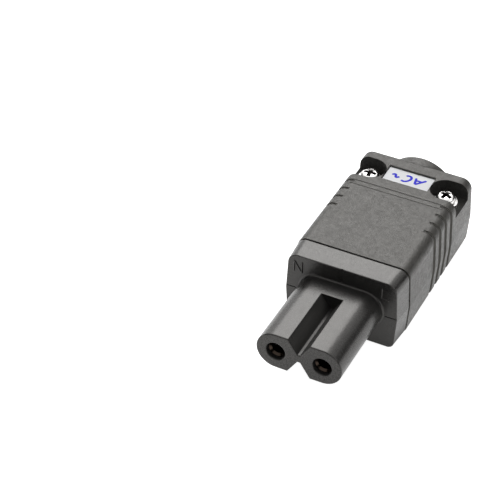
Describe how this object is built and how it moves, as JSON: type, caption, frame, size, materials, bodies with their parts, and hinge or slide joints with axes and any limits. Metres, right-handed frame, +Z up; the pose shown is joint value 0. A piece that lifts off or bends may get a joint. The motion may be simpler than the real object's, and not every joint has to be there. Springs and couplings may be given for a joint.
{
  "type": "figure eight power connector",
  "caption": "Rewirable figure eight (C7) mains connector: charcoal nose and collar, two screwed shells with grip grooves, cable clamp and plain label plate.",
  "frame": {"origin": "middle of the bounding box in plan, on the flat underside", "axes": "+Y runs from the nose to the cable entry, +X is the live side, +Z is up through the label"},
  "size_m": [0.022, 0.0536, 0.0142],
  "materials": {
    "housing_plastic": "fine satin moulding",
    "shell_plastic": "fine spark-eroded texture",
    "block_plastic": "plain moulding",
    "liner_plastic": "plain moulding",
    "contact_metal": "bright plated",
    "spring_metal": "plain strip",
    "insert_metal": "nickel plated",
    "screw_metal": "bright plated",
    "label_film": "smooth film"
  },
  "bodies": {
    "root": {"front_housing": "housing_plastic", "terminal_block": "block_plastic", "live_contact": "contact_metal", "neutral_contact": "contact_metal", "live_retaining_spring": "spring_metal", "neutral_retaining_spring": "spring_metal", "bottom_shell": "shell_plastic", "top_cover": "shell_plastic", "lower_clamp_liner": "liner_plastic", "upper_clamp_liner": "liner_plastic", "left_insert": "insert_metal", "right_insert": "insert_metal", "left_screw": "screw_metal", "right_screw": "screw_metal", "left_washer": "screw_metal", "right_washer": "screw_metal", "label_plate": "label_film"}
  },
  "joints": []
}
